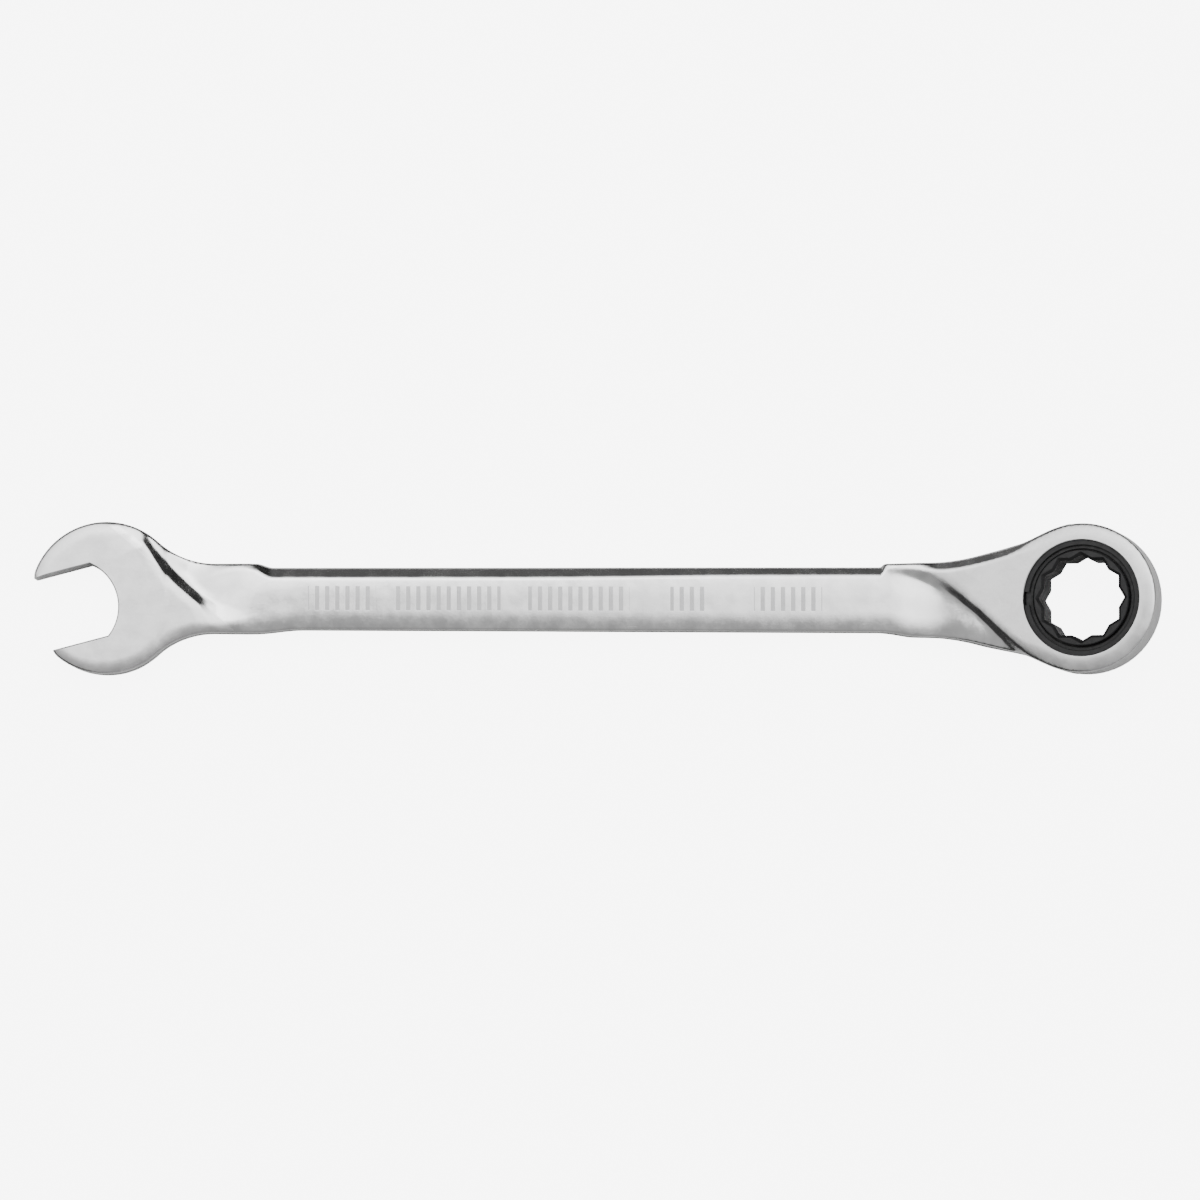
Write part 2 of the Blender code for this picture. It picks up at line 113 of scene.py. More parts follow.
def jaw_neck_half(x):
    """Half-width of the jaw's neck, and its slope: a fillet from the jaw's circle to the beam."""
    centre_y = BEAM_HALF_JAW + NECK_FILLET_R
    centre_x = JAW_X + math.sqrt((JAW_R + NECK_FILLET_R) ** 2 - centre_y**2)
    tangent_x = JAW_X + (centre_x - JAW_X) * JAW_R / (JAW_R + NECK_FILLET_R)
    run = np.clip(x, tangent_x, centre_x) - centre_x
    drop = np.sqrt(NECK_FILLET_R**2 - run**2)
    return centre_y - drop, run / drop


def beam_half(x, y):
    """Half-width of the beam: wide at both ends, relieved over the grip, flared to the ring."""
    upper_step, lower_step, jaw_step, jaw_step_lead, box_slope, flare_blend = 1.4, 9.0, 3.1, 3.5, 0.03, 1.2
    grip = mix(GRIP_HALF_LEFT, GRIP_HALF_RIGHT, (x - GRIP_START_X) / (GRIP_END_X - GRIP_START_X))
    step_length = np.where(y > 0, upper_step, lower_step)
    into_grip = smooth_step((x - GRIP_START_X + jaw_step_lead) / (jaw_step + step_length))
    out_of_grip = smooth_step((x - GRIP_END_X) / step_length)
    box_half = BEAM_HALF_BOX + box_slope * (x - GRIP_END_X)
    half = mix(mix(BEAM_HALF_JAW, grip, into_grip), box_half, out_of_grip)
    flare = FLARE_HALF + FLARE_SLOPE * (x - FLARE_X)
    return soft_max(half, flare, flare_blend)


def outline(x, y):
    """Signed distance from the wrench's outline; x runs along the tilted ring at the box end."""
    neck_end_x, start_past_jaw, end_before_ring, ring_blend = -95, 12, 4.6, 2.5
    jaw = np.hypot(x - JAW_X, y) - JAW_R
    neck_half, slope = jaw_neck_half(x)
    jaw_neck = (np.abs(y) - neck_half) / np.sqrt(1 + slope**2)
    beam = np.abs(y) - beam_half(x, y)
    edge = np.where(x < neck_end_x, jaw_neck, beam)
    edge = np.maximum(edge, np.maximum(JAW_X + start_past_jaw - x, x - RING_X + end_before_ring))
    ring = np.hypot(x - RING_X, y) - RING_R
    return np.minimum(jaw, soft_min(edge, ring, ring_blend))


def sweep_frame(x, y, centre_x, centre_y):
    """Distance along and across a swept line that falls from upper left to lower right."""
    along = (x - centre_x) * SWEEP_COS - (y - centre_y) * SWEEP_SIN
    across = (x - centre_x) * SWEEP_SIN + (y - centre_y) * SWEEP_COS
    return along, across


def ramp(across, half_width, shoulder_share):
    """0 on one side of a swept line and 1 on the other: a wall between two gentler shoulders."""
    rounding = 0.25
    wall = np.clip(0.5 + across / (2 * half_width), 0, 1)
    shoulders = smooth_step(0.5 + across / (SHOULDER_SPREAD * half_width))
    return mix(mix(wall, smooth_step(wall), rounding), shoulders, shoulder_share)


def jaw_side(x, y):
    """0 on the jaw's face, 1 on the beam's, across the swept wall between them."""
    middle_half, narrowing, top_widening, tail_widening = 1.2, 0.35, 2.4, 3.4
    along, across = sweep_frame(x, y, JAW_SWEEP_X, JAW_SWEEP_Y)
    line = 0.1 + 0.13 * (np.hypot(along + 2, 4) - along - 2)
    half_width = (
        middle_half
        - narrowing * smooth_step((-4 - along) / 8)
        + top_widening * smooth_step((-11.5 - along) / 4)
        + tail_widening * smooth_step((along - 8) / 12)
    )
    return ramp(across - line, half_width, JAW_SHOULDER_SHARE)


def box_side(x, y):
    """0 on the beam's face, 1 on the box head's, across the swept wall between them."""
    lower_half, top_widening, top_bend, tail_slope = 0.8, 0.5, 0.022, 0.08
    along, across = sweep_frame(x, y, BOX_SWEEP_X, BOX_SWEEP_Y)
    line = -top_bend * np.clip(along + 4, -16, 0) ** 2 - tail_slope * np.maximum(along - 3, 0)
    half_width = lower_half + top_widening * smooth_step((2 - along) / 14)
    return ramp(across - line, half_width, BOX_SHOULDER_SHARE)


def ring_plane(x, w):
    """Height of the plane at level w of the tilted ring."""
    return RING_Z + (w + (x - RING_X) * SIN) / COS


def beam_face(x, y):
    """The beam's face: its upper half falls off slightly on the grip, and it dishes towards the open jaw."""
    dish = smooth_step((DISH_START_X - x) / (DISH_START_X - DISH_END_X))
    on_grip = smooth_step((CROWN_END_X - x) / 12) * (1 - dish)
    crown = BEAM_CROWN * np.minimum((np.maximum(y, 0) / CROWN_HALF) ** 2, CROWN_LIMIT) * on_grip
    shallow = DISH_SHALLOW * smooth_step((y - DISH_SHALLOW_START_Y) / DISH_SHALLOW_LENGTH)
    return BEAM_FRONT - (DISH_DEPTH - shallow) * dish - crown


def front_height(x, y):
    """Front surface: jaw face, dished beam face, and the neck that bows up into the ring's face."""
    ring_left = RING_X - RING_R * COS - RING_HALF * SIN
    run = ring_left - RISE_START_X
    along = np.clip(x - RISE_START_X, 0, run)
    bowed = BEAM_FRONT + TAN * along**2 / (2 * run) + TAN * np.maximum(x - ring_left, 0)
    from_jaw = mix(JAW_THICK, beam_face(x, y), jaw_side(x, y))
    step = BOX_STEP * smooth_step((x - BOX_STEP_START_X) / BOX_STEP_LENGTH)
    rising = beam_face(x, y) + bowed - BEAM_FRONT - step
    return np.where(x < 0, from_jaw, mix(rising, bowed, box_side(x, y)))


def back_height(x, y):
    """Back surface: half a turn of the front at the jaw, and the ring's tilted back at the box end."""
    beam_back = JAW_THICK - beam_face(x, y)
    from_jaw = mix(0, beam_back, jaw_side(x, -y))
    pad_length, ring_blend = 24, 1.2
    pad = BEAM_BACK * (1 - smooth_step((x - RISE_START_X) / pad_length))
    neck = soft_max(mix(beam_back, pad, box_side(x, -y)), ring_plane(x, -RING_HALF), ring_blend)
    return np.where(x < 0, from_jaw, neck)


def between(x, start, start_length, end, end_length):
    """1 between two places along the wrench and 0 outside, with a smooth change over each length."""
    return smooth_step((x - start) / start_length) * (1 - smooth_step((x - end) / end_length))


def edge_break(x, y):
    """Width and depth of the bevel along the front edge: steep above, soft below, small on the heads."""
    on_beam = between(x, -98, 14, 103, 9)
    on_neck = smooth_step((x - 80) / 8)
    on_grip = between(x, -91, 6, GRIP_END_X, 2) + on_neck
    right_half = smooth_step((x + 20) / 60)
    beside_throat = between(x, -117, 4, -106, 14)
    at_crease = between(x, -125, 4, -114, 4)
    on_tip = smooth_step((-126 - x) / 8)
    on_ring = smooth_step(x - 100)
    upper = smooth_step(0.5 + y / mix(14, 2, on_beam))

    beam_upper_width = mix(1.0, 2.6 - 0.4 * right_half, on_grip)
    beam_lower_width = 2.4
    head_upper_width = mix(mix(1.3, 3.4, beside_throat), 0.5, at_crease)
    head_lower_width = mix(1.7, 1.0, on_tip)
    head_width = mix(head_lower_width, head_upper_width, upper)
    width = mix(head_width, mix(beam_lower_width, beam_upper_width, upper), on_beam)

    beam_upper_slope = mix(0.42, 0.62 - 0.1 * right_half + 0.1 * on_neck, on_grip)
    beam_lower_slope = 0.24
    head_upper_slope = mix(0.4, 0.3, beside_throat)
    head_lower_slope = mix(0.5, 0.4, on_ring)
    head_slope = mix(head_lower_slope, head_upper_slope, upper)
    slope = mix(head_slope, mix(beam_lower_slope, beam_upper_slope, upper), on_beam)
    return width, slope * width


def body_field(x, y, z):
    """Below zero inside the forging, before the jaw's slot and the ring's bore are cut."""
    edge_round, head_round, lower_round, side_round, tip_round = 0.35, 0.5, 0.3, 0.5, 1.2
    lean = smooth_step((x - 98) / 12)
    along_ring = RING_X + (x - RING_X) * COS + (z - RING_Z) * SIN
    sides = outline(mix(x, along_ring, lean), y)
    above = z - front_height(x, y)
    below = back_height(x, y) - z
    width, depth = edge_break(x, y)
    bevel = ((width + sides) * depth + above * width) / np.hypot(width, depth)
    width, depth = edge_break(x, -y)
    back_bevel = ((width + sides) * depth + below * width) / np.hypot(width, depth)
    on_head = smooth_step((-96 - x) / 10) + smooth_step((x - 104) / 10)
    extra_round = np.maximum(head_round * on_head, lower_round * smooth_step(-y / 2))
    solid = soft_max(above, bevel, edge_round + extra_round)
    solid = soft_max(solid, soft_max(below, back_bevel, edge_round), edge_round)
    solid = soft_max(solid, sides, side_round)
    tip = (x - JAW_X) * math.cos(JAW_ANGLE) + y * math.sin(JAW_ANGLE) - JAW_TIP_REACH
    well_inside, tip_end_x = -5.0, -120
    return soft_max(solid, np.where(x < tip_end_x, tip, well_inside), tip_round)


# ---------------------------------------------------------------- surface of a field


def field_mesh(field, axes, passes=4):
    """Points and quads on the zero surface of a field, on a grid given by its three axes.

    Each cell that the surface crosses gets one point, at the mean of its edge crossings; the
    points are then moved onto the surface along the field's slope.
    """
    sizes = [len(a) for a in axes]
    values = field(*np.meshgrid(*axes, indexing="ij"))
    inside = values < 0
    cells = [n - 1 for n in sizes]
    total = np.zeros((*cells, 3))
    count = np.zeros(cells)
    crossings = []
    for axis in range(3):
        low = [slice(None)] * 3
        high = [slice(None)] * 3
        low[axis], high[axis] = slice(0, -1), slice(1, None)
        where = np.argwhere(inside[tuple(low)] != inside[tuple(high)])
        step = np.eye(3, dtype=int)[axis]
        a, b = values[tuple(where.T)], values[tuple((where + step).T)]
        place = where.astype(float)
        place[:, axis] += a / (a - b)
        crossings.append((axis, where, inside[tuple(where.T)]))
        others = [i for i in range(3) if i != axis]
        for back_1 in (0, 1):
            for back_2 in (0, 1):
                cell = where.copy()
                cell[:, others[0]] -= back_1
                cell[:, others[1]] -= back_2
                np.add.at(total, tuple(cell.T), place)
                np.add.at(count, tuple(cell.T), 1)
    used = count > 0
    number = np.full(cells, -1)
    number[used] = np.arange(used.sum())
    index = total[used] / count[used][:, None]
    points = np.stack([np.interp(index[:, i], np.arange(sizes[i]), axes[i]) for i in range(3)], axis=1)
    quads = []
    for axis, where, starts_inside in crossings:
        first, second = (axis + 1) % 3, (axis + 2) % 3
        ring = []
        for back_1, back_2 in ((0, 0), (1, 0), (1, 1), (0, 1)):
            cell = where.copy()
            cell[:, first] -= back_1
            cell[:, second] -= back_2
            ring.append(number[tuple(cell.T)])
        ring = np.stack(ring, axis=1)
        quads.append(np.where(starts_inside[:, None], ring, ring[:, ::-1]))
    gap, least_slope, longest_move, nearly_none = 0.02, 0.05, 0.15, 1e-9
    for _ in range(passes):
        value = field(*points.T)
        slope = np.stack(
            [(field(*(points + gap * e).T) - field(*(points - gap * e).T)) / (2 * gap) for e in np.eye(3)],
            axis=1,
        )
        move = value[:, None] * slope / np.maximum((slope**2).sum(1), least_slope)[:, None]
        reach = np.maximum(np.linalg.norm(move, axis=1), nearly_none)
        points -= move * np.minimum(1, longest_move / reach)[:, None]
    return points, np.concatenate(quads)


def grid_axis(stops, steps):
    """Grid lines through the stops, spaced by each stretch's own step."""
    lines = [np.array([stops[0]])]
    for low, high, step in zip(stops, stops[1:], steps):
        lines.append(np.linspace(low, high, max(1, round((high - low) / step)) + 1)[1:])
    return np.concatenate(lines)


def make_body_mesh():
    """The forging before any cut, on a grid that is fine at both ends and coarser along the grip."""
    fine = 0.42
    long = 1.3
    end_x, coarse_from_x, coarse_to_x, side_y, low_z, high_z = 147.3, -82.0, 72.0, 21.2, -1.3, 23.7
    x = grid_axis([-end_x, coarse_from_x, coarse_to_x, end_x], [fine, long, fine])
    y = grid_axis([-side_y, side_y], [fine])
    z = grid_axis([low_z, high_z], [fine])
    points, quads = field_mesh(body_field, (x, y, z))
    mesh = bpy.data.meshes.new("forging")
    mesh.from_pydata((points * MM).tolist(), [], quads.tolist())
    return mesh


# ---------------------------------------------------------------- modelling helpers


def piece(name, mesh, sharp_angle=40):
    """A smooth-shaded object whose edges sharper than the angle, in degrees, stay sharp."""
    mesh.shade_smooth()
    mesh.set_sharp_from_angle(angle=math.radians(sharp_angle))
    obj = bpy.data.objects.new(name, mesh)
    bpy.context.scene.collection.objects.link(obj)
    return obj


def to_mesh(name, shape, place=Matrix.Identity(4)):
    """A mesh from a bmesh in millimetres, put in place and turned to metres."""
    bmesh.ops.recalc_face_normals(shape, faces=shape.faces)
    mesh = bpy.data.meshes.new(name)
    shape.to_mesh(mesh)
    shape.free()
    mesh.transform(TO_METRES @ place)
    return mesh


def loft(sections, closed=False):
    """A solid through rings of points; closed joins the last ring to the first."""
    shape = bmesh.new()
    rings = [[shape.verts.new(point) for point in section] for section in sections]
    for ring, after in zip(rings, rings[1:] + (rings[:1] if closed else [])):
        for i in range(len(ring)):
            j = (i + 1) % len(ring)
            shape.faces.new((ring[i], ring[j], after[j], after[i]))
    if not closed:
        shape.faces.new(rings[0][::-1])
        shape.faces.new(rings[-1])
    return shape


def circle(radius, height, steps=192):
    """Points of a circle about +Z."""
    turns = [2 * math.pi * i / steps for i in range(steps)]
    return [(radius * math.cos(t), radius * math.sin(t), height) for t in turns]


def turned(profile, steps=192):
    """A solid turned about +Z from (radius, height) points, bottom to top."""
    return loft([circle(r, h, steps) for r, h in profile])


def cut(target, cutters, operation="DIFFERENCE"):
    """Boolean of meshes into the target mesh, applied."""
    holder = bpy.data.objects.new("holder", target)
    bpy.context.scene.collection.objects.link(holder)
    tools = []
    for mesh in cutters:
        tool = bpy.data.objects.new("tool", mesh)
        bpy.context.scene.collection.objects.link(tool)
        modifier = holder.modifiers.new("cut", "BOOLEAN")
        modifier.operation = operation
        modifier.solver = "MANIFOLD"
        modifier.object = tool
        tools.append(tool)
    graph = bpy.context.evaluated_depsgraph_get()
    result = bpy.data.meshes.new_from_object(holder.evaluated_get(graph))
    for obj in [holder, *tools]:
        bpy.data.objects.remove(obj, do_unlink=True)
    return result


def jaw_point(along, across, z):
    """A point of the jaw's slot, from its distances along and across the slot."""
    return (
        JAW_X + along * math.cos(JAW_ANGLE) + across * math.sin(JAW_ANGLE),
        along * math.sin(JAW_ANGLE) - across * math.cos(JAW_ANGLE),
        z,
    )


def slot_outline(grow, z):
    """The open jaw's slot, offset outwards by grow."""
    half = HEX / 2 + grow
    radius = THROAT_R + grow
    half_turn = math.asin(half / radius)
    steps, open_end = 48, JAW_R + 6.0
    points = [(open_end, half)]
    for i in range(steps + 1):
        turn = math.pi - half_turn + 2 * half_turn * i / steps
        points.append((THROAT_FORWARD + radius * math.cos(turn), radius * math.sin(turn)))
    points.append((open_end, -half))
    return [jaw_point(a, c, z) for a, c in points]


def jaw_slot():
    """Cutter for the jaw, flared at both faces so that its edges are broken."""
    wide = EDGE_FLARE + BEYOND
    levels = [(wide, -BEYOND), (0, EDGE_FLARE), (0, JAW_THICK - EDGE_FLARE), (wide, JAW_THICK + BEYOND)]
    return to_mesh("slot", loft([slot_outline(grow, z) for grow, z in levels]))


def stepped_bore():
    """Cutter for the ring: back lip, gear chamber, cover recess, clip groove and both broken edges."""
    top, bottom = RING_HALF, -RING_HALF
    return turned(
        [
            (LIP_HOLE_R + BORE_FLARE + BEYOND, bottom - BEYOND),
            (LIP_HOLE_R, bottom + BORE_FLARE),
            (LIP_HOLE_R, LIP_TOP_W),
            (CHAMBER_R, LIP_TOP_W),
            (CHAMBER_R, SHELF_W),
            (FACE_HOLE_R, SHELF_W),
            (FACE_HOLE_R, GROOVE_LOW_W),
            (GROOVE_R, GROOVE_LOW_W),
            (GROOVE_R, GROOVE_HIGH_W),
            (FACE_HOLE_R, GROOVE_HIGH_W),
            (FACE_HOLE_R, top - BORE_FLARE),
            (FACE_HOLE_R + BORE_FLARE + BEYOND, top + BEYOND),
        ]
    )


def rod(radius, start_u, end_u, steps=48):
    """A cylinder on the pawl's line of travel, in the ring's frame."""
    turns = [2 * math.pi * i / steps for i in range(steps)]
    ends = [
        [(u, radius * math.cos(t), TRAVEL_W + radius * math.sin(t)) for t in turns] for u in (start_u, end_u)
    ]
    return loft(ends)


def block(low, high):
    """A box between two opposite corners."""
    x, y = (low[0], high[0]), (low[1], high[1])
    corners = [(x[0], y[0]), (x[1], y[0]), (x[1], y[1]), (x[0], y[1])]
    return loft([[(*corner, z) for corner in corners] for z in (low[2], high[2])])


def make_body():
    """The one-piece forging: beam, open jaw, neck and ring, with the ratchet's chamber cut out."""
    low = (POCKET_REAR_U, -POCKET_HALF, POCKET_LOW_W)
    high = (-LIP_HOLE_R, POCKET_HALF, POCKET_HIGH_W)
    cutters = [
        jaw_slot(),
        to_mesh("bore", stepped_bore(), HEAD),
        to_mesh("pocket", block(low, high), HEAD),
        to_mesh("spring_hole", rod(SPRING_HOLE_R, SPRING_HOLE_REAR_U, POCKET_REAR_U + OVERLAP), HEAD),
        to_mesh("pin_hole", rod(PIN_HOLE_R, PIN_HOLE_REAR_U, SPRING_HOLE_REAR_U + OVERLAP), HEAD),
    ]
    mesh = cut(make_body_mesh(), cutters)
    mesh.name = "forged_body"
    return piece("forged_body", mesh)


def in_bore(u, v, w):
    """Whether a point of the ring's frame is on the gear's chamber, the pawl's pocket or the holes behind."""
    near = 0.1
    chamber = abs(w) < RING_HALF - EDGE_FLARE and math.hypot(u, v) < GROOVE_R + near
    in_pocket_height = POCKET_LOW_W - near < w < POCKET_HIGH_W + near
    pocket = u > POCKET_REAR_U - near and abs(v) < POCKET_HALF + near and in_pocket_height
    holes = u > PIN_HOLE_REAR_U - near and math.hypot(v, w - TRAVEL_W) < SPRING_HOLE_R + near
    return u < GROOVE_R + near and (chamber or u < 0 and (pocket or holes))


def mark_bore(mesh, index):
    """Gives the inside of the ring, behind its broken edges, a second material: near-black steel that paints
    shade into the bore.
    """
    inward = HEAD.inverted() @ Matrix.Scale(1 / MM, 4)
    for face in mesh.polygons:
        if in_bore(*(inward @ face.center)):
            face.material_index = index


# ---------------------------------------------------------------- ratchet pieces

TEETH, TOOTH_TIP_R, TOOTH_ROOT_R = 72, 13.65, 13.05
TEETH_LOW_W, TEETH_HIGH_W = -4.5, 3.1
COLLAR_R, COLLAR_HALF = 12.3, 6.1
SEAL_W, SEAL_R, SEAL_WIRE_R, SEAL_GROOVE_R, SEAL_GROOVE_HALF = -5.5, 11.98, 0.28, 11.6, 0.4
COVER_INNER_R, COVER_OUTER_R, COVER_LOW_W, COVER_HIGH_W, COVER_EDGE = 12.6, 14.55, 3.55, 4.35, 0.12
CLIP_INNER_R, CLIP_OUTER_R, CLIP_LOW_W, CLIP_HIGH_W, CLIP_EDGE = 13.5, 15.35, 4.65, 5.35, 0.15
CLIP_HALF_GAP = math.radians(7)
GEAR_EDGE, SOCKET_LEAD_IN, SOCKET_CORNER_R = 0.25, 0.7, 0.35


def twelve_point(grow, w):
    """Outline of the socket: two hexagons a twelfth of a turn apart, with rounded outer corners."""
    apothem = HEX / 2 + grow
    twelfth = math.radians(30)
    corner = (apothem - SOCKET_CORNER_R) / math.cos(twelfth)
    inner = apothem / math.cos(twelfth / 2)
    points = []
    for i in range(12):
        turn = twelfth * i
        for k in range(5):
            side = twelfth * (k / 2 - 1)
            x = corner + SOCKET_CORNER_R * math.cos(side)
            y = SOCKET_CORNER_R * math.sin(side)
            across = x * math.sin(turn) + y * math.cos(turn)
            points.append((x * math.cos(turn) - y * math.sin(turn), across, w))
        half_turn = turn + twelfth / 2
        points.append((inner * math.cos(half_turn), inner * math.sin(half_turn), w))
    return points


def make_gear():
    """Toothed ring with a collar above and below, and the twelve-point socket through it."""
    collar = turned(
        [
            (COLLAR_R - GEAR_EDGE, -COLLAR_HALF),
            (COLLAR_R, -COLLAR_HALF + GEAR_EDGE / 2),
            (COLLAR_R, SEAL_W - SEAL_GROOVE_HALF),
            (SEAL_GROOVE_R, SEAL_W - SEAL_GROOVE_HALF),
            (SEAL_GROOVE_R, SEAL_W + SEAL_GROOVE_HALF),
            (COLLAR_R, SEAL_W + SEAL_GROOVE_HALF),
            (COLLAR_R, COLLAR_HALF - GEAR_EDGE),
            (COLLAR_R - GEAR_EDGE, COLLAR_HALF),
        ]
    )
    teeth = []
    for w in (TEETH_LOW_W, TEETH_HIGH_W):
        ring = []
        for i in range(2 * TEETH):
            radius = TOOTH_ROOT_R if i % 2 else TOOTH_TIP_R
            turn = math.pi * i / TEETH
            ring.append((radius * math.cos(turn), radius * math.sin(turn), w))
        teeth.append(ring)
    past_face = 1.0
    levels = [
        (SOCKET_LEAD_IN + past_face, -COLLAR_HALF - past_face),
        (0, -COLLAR_HALF + SOCKET_LEAD_IN),
        (0, COLLAR_HALF - SOCKET_LEAD_IN),
        (SOCKET_LEAD_IN + past_face, COLLAR_HALF + past_face),
    ]
    socket = loft([twelve_point(grow, w) for grow, w in levels])
    mesh = cut(to_mesh("collar", collar, HEAD), [to_mesh("teeth", loft(teeth), HEAD)], "UNION")
    mesh = cut(mesh, [to_mesh("socket", socket, HEAD)])
    return piece("gear_ring", mesh, 30)


def rounded_section(inner, outer, low, high, edge):
    """(radius, height) outline of a flat ring whose edges are broken by edge."""
    return [
        (inner + edge, low),
        (outer - edge, low),
        (outer, low + edge),
        (outer, high - edge),
        (outer - edge, high),
        (inner + edge, high),
        (inner, high - edge),
        (inner, low + edge),
    ]


def swept_ring(profile, start=0.0, end=2 * math.pi, steps=192):
    """A (radius, height) outline swept round the ring's axis, open unless it goes all the way."""
    whole = end - start > 1.999 * math.pi
    count = steps if whole else steps + 1
    sections = []
    for i in range(count):
        turn = start + (end - start) * i / steps
        sections.append([(r * math.cos(turn), r * math.sin(turn), h) for r, h in profile])
    return loft(sections, closed=whole)


def make_cover():
    """Flat ring that closes the gear's chamber."""
    section = rounded_section(COVER_INNER_R, COVER_OUTER_R, COVER_LOW_W, COVER_HIGH_W, COVER_EDGE)
    return piece("gear_cover", to_mesh("gear_cover", swept_ring(section), HEAD), 30)


def make_clip():
    """Split ring that holds the cover, with its gap towards the beam."""
    section = rounded_section(CLIP_INNER_R, CLIP_OUTER_R, CLIP_LOW_W, CLIP_HIGH_W, CLIP_EDGE)
    shape = swept_ring(section, math.pi + CLIP_HALF_GAP, 3 * math.pi - CLIP_HALF_GAP)
    return piece("clip_ring", to_mesh("clip_ring", shape, HEAD), 30)


def make_seal():
    """Round-section rubber ring in the gear's groove."""
    sides = 16
    wire = []
    for i in range(sides):
        turn = 2 * math.pi * i / sides
        wire.append((SEAL_R + SEAL_WIRE_R * math.cos(turn), SEAL_W + SEAL_WIRE_R * math.sin(turn)))
    return piece("o_ring", to_mesh("o_ring", swept_ring(wire), HEAD), 60)


def make_spring():
    """The pawl's spring: a round-wire coil whose end turns lie closer together."""
    per_coil = 40
    sides = 12
    count = SPRING_COILS * per_coil
    sections = []
    for i in range(count + 1):
        turn = 2 * math.pi * i / per_coil
        share = i / count
        middle = mix(SPRING_START_U, SPRING_END_U, mix(share, smooth_step(share), 0.5))
        section = []
        for k in range(sides):
            around = 2 * math.pi * k / sides
            radius = SPRING_R + SPRING_WIRE_R * math.cos(around)
            u = middle + SPRING_WIRE_R * math.sin(around)
            section.append((u, radius * math.cos(turn), TRAVEL_W + radius * math.sin(turn)))
        sections.append(section)
    return piece("coil_spring", to_mesh("coil_spring", loft(sections), HEAD), 60)


# ---------------------------------------------------------------- materials

# Places and depths in this section are in metres
# Etched bars on the beam: where each group starts and ends along the beam
ETCHED_GROUPS = [(-0.0745, -0.057), (-0.053, -0.025), (-0.018, 0.008), (0.0185, 0.0275), (0.040, 0.0575)]
ETCHED_PITCH, ETCHED_HALF = 0.0026, 0.0031
ETCHED_SOFT_ENDS, ETCHED_SOFT_SIDES = 0.0002, 0.00015
ETCHED_LOWEST_Z, ETCHED_HIGHEST_Z = 0.006, 0.007

# The satin heads end along slanted lines: each fades between these two values of x + SATIN_SLANT * y.
# Only faces that look up or down are satin: it fades in between the two values of SATIN_UPRIGHT.
SATIN_SLANT = 1.2
SATIN_JAW = (-0.104, -0.1025)
SATIN_BOX = (0.0928, 0.0943)
SATIN_UPRIGHT = (0.86, 0.94)
FINE_BUMP = 0.000003


class Shader:
    """A Principled material with short calls for the nodes that shape it."""

    def __init__(self, name, colour, roughness, metallic):
        self.material = bpy.data.materials.new(name)
        self.material.use_nodes = True
        self.tree = self.material.node_tree
        self.shader = self.tree.nodes["Principled BSDF"]
        self.shader.inputs["Base Color"].default_value = (*colour, 1)
        self.shader.inputs["Roughness"].default_value = roughness
        self.shader.inputs["Metallic"].default_value = metallic
        self.place = self.tree.nodes.new("ShaderNodeTexCoord").outputs["Object"]

    def link(self, source, target):
        self.tree.links.new(source, target)

    def stretched(self, scale):
        """The object's own coordinates, in metres, scaled along each axis."""
        node = self.tree.nodes.new("ShaderNodeMapping")
        node.inputs["Scale"].default_value = scale
        self.link(self.place, node.inputs["Vector"])
        return node.outputs["Vector"]

    def noise(self, scale, detail=4.0, roughness=0.55):
        """Noise with scale cells to the metre along each axis."""
        node = self.tree.nodes.new("ShaderNodeTexNoise")
        node.inputs["Scale"].default_value = 1.0
        node.inputs["Detail"].default_value = detail
        node.inputs["Roughness"].default_value = roughness
        self.link(self.stretched(scale), node.inputs["Vector"])
        return node.outputs["Fac"]

    def remap(self, value, low, high, to_low, to_high):
        """The value, moved smoothly from one range to another and held at its ends."""
        node = self.tree.nodes.new("ShaderNodeMapRange")
        node.interpolation_type = "SMOOTHSTEP"
        self.link(value, node.inputs["Value"])
        for socket, number in zip(("From Min", "From Max", "To Min", "To Max"), (low, high, to_low, to_high)):
            node.inputs[socket].default_value = number
        return node.outputs["Result"]

    def math(self, operation, *values):
        """A Math node on outputs or plain numbers."""
        node = self.tree.nodes.new("ShaderNodeMath")
        node.operation = operation
        for socket, value in zip(node.inputs, values):
            if isinstance(value, (int, float)):
                socket.default_value = value
            else:
                self.link(value, socket)
        return node.outputs["Value"]

    def upright(self):
        """How far the surface faces straight up or down, from 0 to 1."""
        node = self.tree.nodes.new("ShaderNodeSeparateXYZ")
        self.link(self.tree.nodes["Texture Coordinate"].outputs["Normal"], node.inputs["Vector"])
        return self.math("ABSOLUTE", node.outputs["Z"])

    def window(self, value, low, high, soft):
        """1 between low and high, 0 outside, with soft ends."""
        rise = self.remap(value, low - soft, low + soft, 0, 1)
        return self.math("MULTIPLY", rise, self.remap(value, high - soft, high + soft, 1, 0))

    def axes(self):
        """The object's own X, Y and Z."""
        node = self.tree.nodes.new("ShaderNodeSeparateXYZ")
        self.link(self.place, node.inputs["Vector"])
        return node.outputs["X"], node.outputs["Y"], node.outputs["Z"]

    def colour(self, factor, low, high):
        """The base colour, from low to high as the factor rises."""
        node = self.tree.nodes.new("ShaderNodeMix")
        node.data_type = "RGBA"
        self.link(factor, node.inputs["Factor"])
        for socket, colour in ((node.inputs["A"], low), (node.inputs["B"], high)):
            socket.default_value = (*colour, 1)
        self.link(node.outputs["Result"], self.shader.inputs["Base Color"])

    def bump(self, heights):
        """Bumps from (height output, depth in metres) pairs."""
        normal = None
        for height, depth in heights:
            node = self.tree.nodes.new("ShaderNodeBump")
            node.inputs["Strength"].default_value = 1.0
            node.inputs["Distance"].default_value = depth
            self.link(height, node.inputs["Height"])
            if normal:
                self.link(normal, node.inputs["Normal"])
            normal = node.outputs["Normal"]
        self.link(normal, self.shader.inputs["Normal"])


